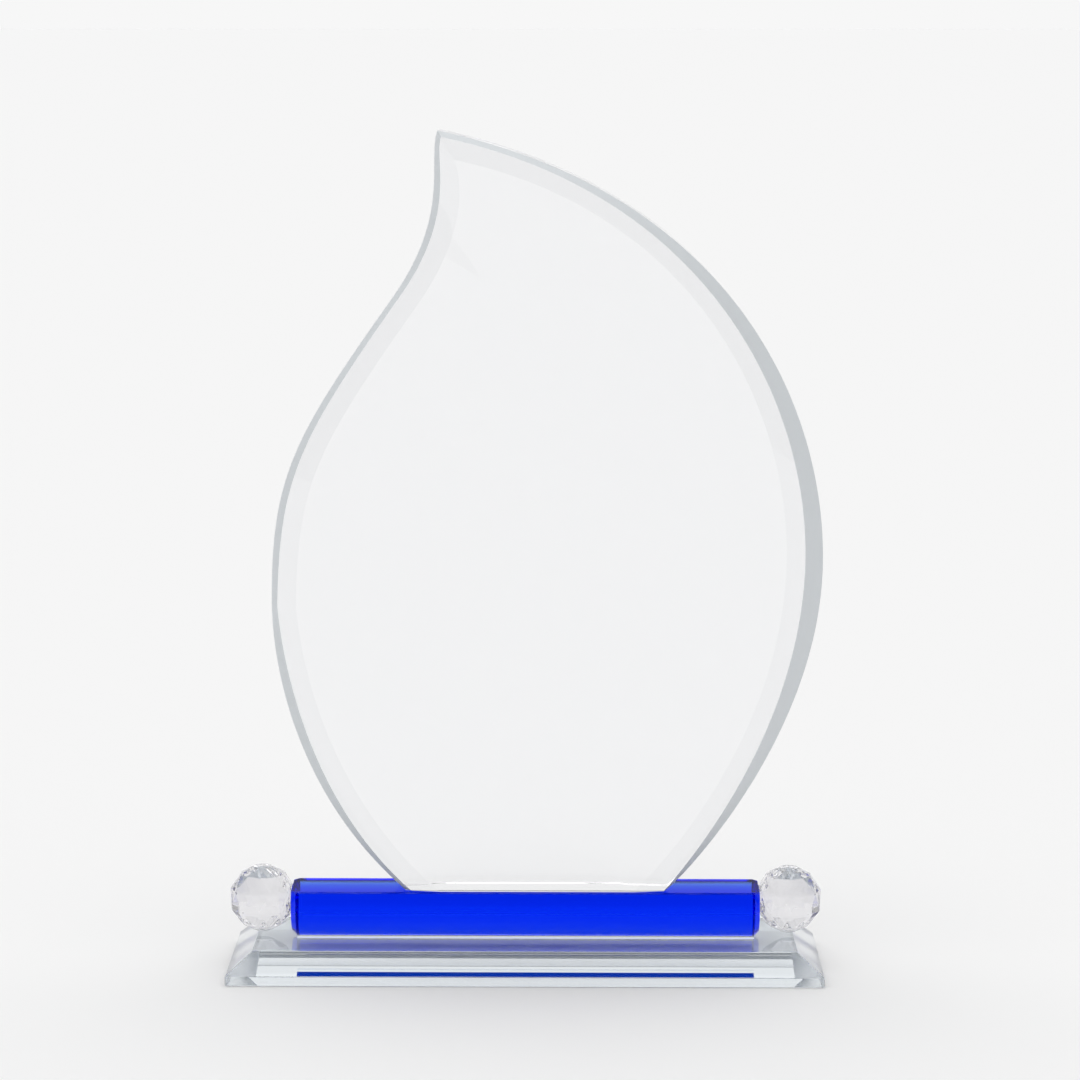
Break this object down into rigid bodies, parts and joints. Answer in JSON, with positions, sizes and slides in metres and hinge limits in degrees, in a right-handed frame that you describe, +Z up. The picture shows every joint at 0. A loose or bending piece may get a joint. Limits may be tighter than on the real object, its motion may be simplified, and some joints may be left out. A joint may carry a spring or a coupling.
{
  "type": "crystal award",
  "caption": "Flame-shaped bevelled glass plaque standing on a blue glass rod with faceted glass balls at its ends, bonded to a clear bevelled glass plate.",
  "frame": {"origin": "centre of the base plate's underside, which is also the centre of the bounding box's bottom", "axes": "+Z up, +X to the viewer's right, -Y out of the award's front face"},
  "size_m": [0.1748, 0.05, 0.246],
  "materials": {
    "clear_glass_plate": "polished clear glass with a faint blue-green tint",
    "rod_adhesive": "clear cured adhesive that takes the rod's blue",
    "blue_glass": "polished cobalt blue glass",
    "clear_adhesive": "clear cured adhesive",
    "clear_glass_plaque": "polished clear glass with a ground and polished rim",
    "faceted_crystal": "faceted polished crystal"
  },
  "bodies": {
    "root": {"base_plate": "clear_glass_plate", "rod_bond": "rod_adhesive", "blue_rod": "blue_glass", "plaque_bond": "clear_adhesive", "plaque": "clear_glass_plaque", "ball_bond_left": "clear_adhesive", "ball_bond_right": "clear_adhesive", "ball_left": "faceted_crystal", "ball_right": "faceted_crystal"}
  },
  "joints": []
}
